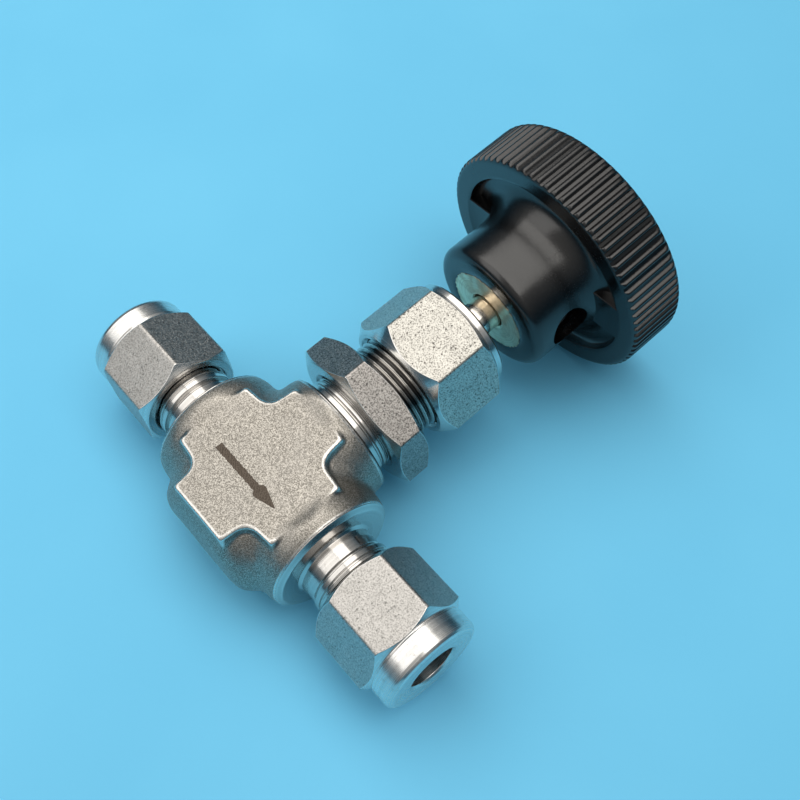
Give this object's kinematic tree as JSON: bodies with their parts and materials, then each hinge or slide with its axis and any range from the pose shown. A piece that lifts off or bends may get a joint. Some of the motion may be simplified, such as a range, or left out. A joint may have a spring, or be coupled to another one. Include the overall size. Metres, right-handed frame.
{
  "type": "needle valve",
  "caption": "Straight panel-mount needle valve with forged cross-shaped body, twin-ferrule tube nuts and a round ribbed handle.",
  "frame": {"origin": "where the flow axis crosses the stem axis, inside the body", "axes": "+X towards the inlet port, -Y along the stem towards the handle, +Z out of the face with the flow arrow"},
  "size_m": [0.064, 0.0703, 0.0362],
  "materials": {
    "forged_steel": "bead-blasted forging with polished machined necks",
    "nut_steel": "speckled satin flats with bright turned ends",
    "polished_steel": "polished",
    "black_steel": "oiled black",
    "ptfe": "satin white",
    "phenolic": "satin moulded",
    "brass": "turned"
  },
  "bodies": {
    "valve_body": {"body": "forged_steel", "lower_gland": "polished_steel", "lower_packing": "ptfe", "middle_packing": "ptfe", "upper_packing": "ptfe"},
    "needle": {"stem_tip": "polished_steel"},
    "spindle": {"stem": "polished_steel", "handle": "phenolic", "handle_insert": "brass", "set_screw": "black_steel"},
    "gland": {"upper_gland": "polished_steel"},
    "packing_nut": {"packing_nut": "nut_steel"},
    "panel_nut": {"panel_nut": "nut_steel"},
    "inlet_ferrules": {"inlet_front_ferrule": "polished_steel", "inlet_back_ferrule": "polished_steel"},
    "inlet_nut": {"inlet_nut": "nut_steel"},
    "outlet_ferrules": {"outlet_front_ferrule": "polished_steel", "outlet_back_ferrule": "polished_steel"},
    "outlet_nut": {"outlet_nut": "nut_steel"}
  },
  "joints": [
    {"name": "needle_lift", "type": "slide", "parent": "valve_body", "child": "needle", "axis": [0, -1, 0], "range_m": [-0.0036, 0.0009]},
    {"name": "handle_turn", "type": "hinge", "parent": "needle", "child": "spindle", "pos_m": [0, -0.045, 0], "axis": [0, -1, 0], "range_deg": [-1440, 360]},
    {"name": "gland_slide", "type": "slide", "parent": "valve_body", "child": "gland", "axis": [0, -1, 0], "range_m": [0, 0.003]},
    {"name": "packing_nut_turn", "type": "hinge", "parent": "gland", "child": "packing_nut", "pos_m": [0, -0.028, 0], "axis": [0, -1, 0], "range_deg": [0, 1080]},
    {"name": "panel_nut_slide", "type": "slide", "parent": "valve_body", "child": "panel_nut", "axis": [0, -1, 0], "range_m": [0, 0.003]},
    {"name": "inlet_ferrule_slide", "type": "slide", "parent": "valve_body", "child": "inlet_ferrules", "axis": [1, 0, 0], "range_m": [0, 0.00635]},
    {"name": "inlet_nut_turn", "type": "hinge", "parent": "inlet_ferrules", "child": "inlet_nut", "pos_m": [0.025, 0, 0], "axis": [1, 0, 0], "range_deg": [0, 1800]},
    {"name": "outlet_ferrule_slide", "type": "slide", "parent": "valve_body", "child": "outlet_ferrules", "axis": [-1, 0, 0], "range_m": [0, 0.00635]},
    {"name": "outlet_nut_turn", "type": "hinge", "parent": "outlet_ferrules", "child": "outlet_nut", "pos_m": [-0.025, 0, 0], "axis": [-1, 0, 0], "range_deg": [0, 1800]}
  ],
  "couplings": [
    {"joint": "needle_lift", "follows": "handle_turn", "m_per_rad": 0.00014324},
    {"joint": "gland_slide", "follows": "packing_nut_turn", "m_per_rad": 0.00015915},
    {"joint": "inlet_ferrule_slide", "follows": "inlet_nut_turn", "m_per_rad": 0.00020213},
    {"joint": "outlet_ferrule_slide", "follows": "outlet_nut_turn", "m_per_rad": 0.00020213}
  ]
}
